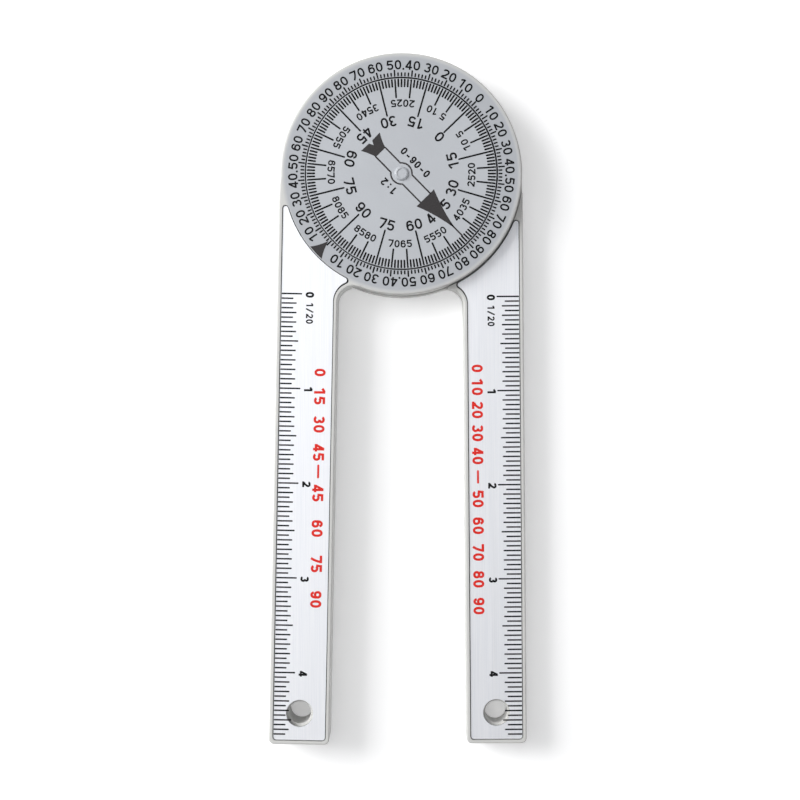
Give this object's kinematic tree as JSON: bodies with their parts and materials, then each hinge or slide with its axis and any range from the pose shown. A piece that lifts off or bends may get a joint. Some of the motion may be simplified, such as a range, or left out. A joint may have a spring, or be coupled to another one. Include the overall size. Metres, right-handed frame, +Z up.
{
  "type": "miter saw protractor",
  "caption": "Miter saw protractor: ruled arms hinged at a round lapped hub, with a scale ring on one arm and a dial with an arrow on the other.",
  "frame": {"origin": "hub axis where it meets the plane of the underside", "axes": "+Z up along the hub axis through the dial, +Y away from the arm ends (the right arm points along -Y), +X to the right arm's side"},
  "size_m": [0.0694, 0.1862, 0.0126],
  "materials": {
    "arm_plastic": "fine satin ABS, light grey",
    "dial_plastic": "fine satin ABS, blue grey",
    "rule_aluminium": "fine brushed along the arm",
    "adhesive_film": "matt black foam film",
    "washer_acetal": "smooth",
    "washer_steel": "plain spring steel",
    "screw_steel": "zinc plated",
    "insert_brass": "turned"
  },
  "bodies": {
    "right_arm": {"right_arm": "arm_plastic", "right_plate_adhesive": "adhesive_film", "right_rule_plate": "rule_aluminium", "glide_washer": "washer_acetal", "wave_spring": "washer_steel", "miter_dial": "dial_plastic", "threaded_insert": "insert_brass", "spring_lock_washer": "washer_steel", "pivot_screw": "screw_steel", "centre_button": "dial_plastic"},
    "left_arm": {"left_arm": "arm_plastic", "left_plate_adhesive": "adhesive_film", "left_rule_plate": "rule_aluminium", "pressure_washer": "washer_steel"}
  },
  "joints": [
    {"name": "arm_hinge", "type": "hinge", "parent": "right_arm", "child": "left_arm", "pos_m": [0, 0, 0.007], "axis": [0, 0, -1], "range_deg": [-13.5, 178.5]}
  ]
}
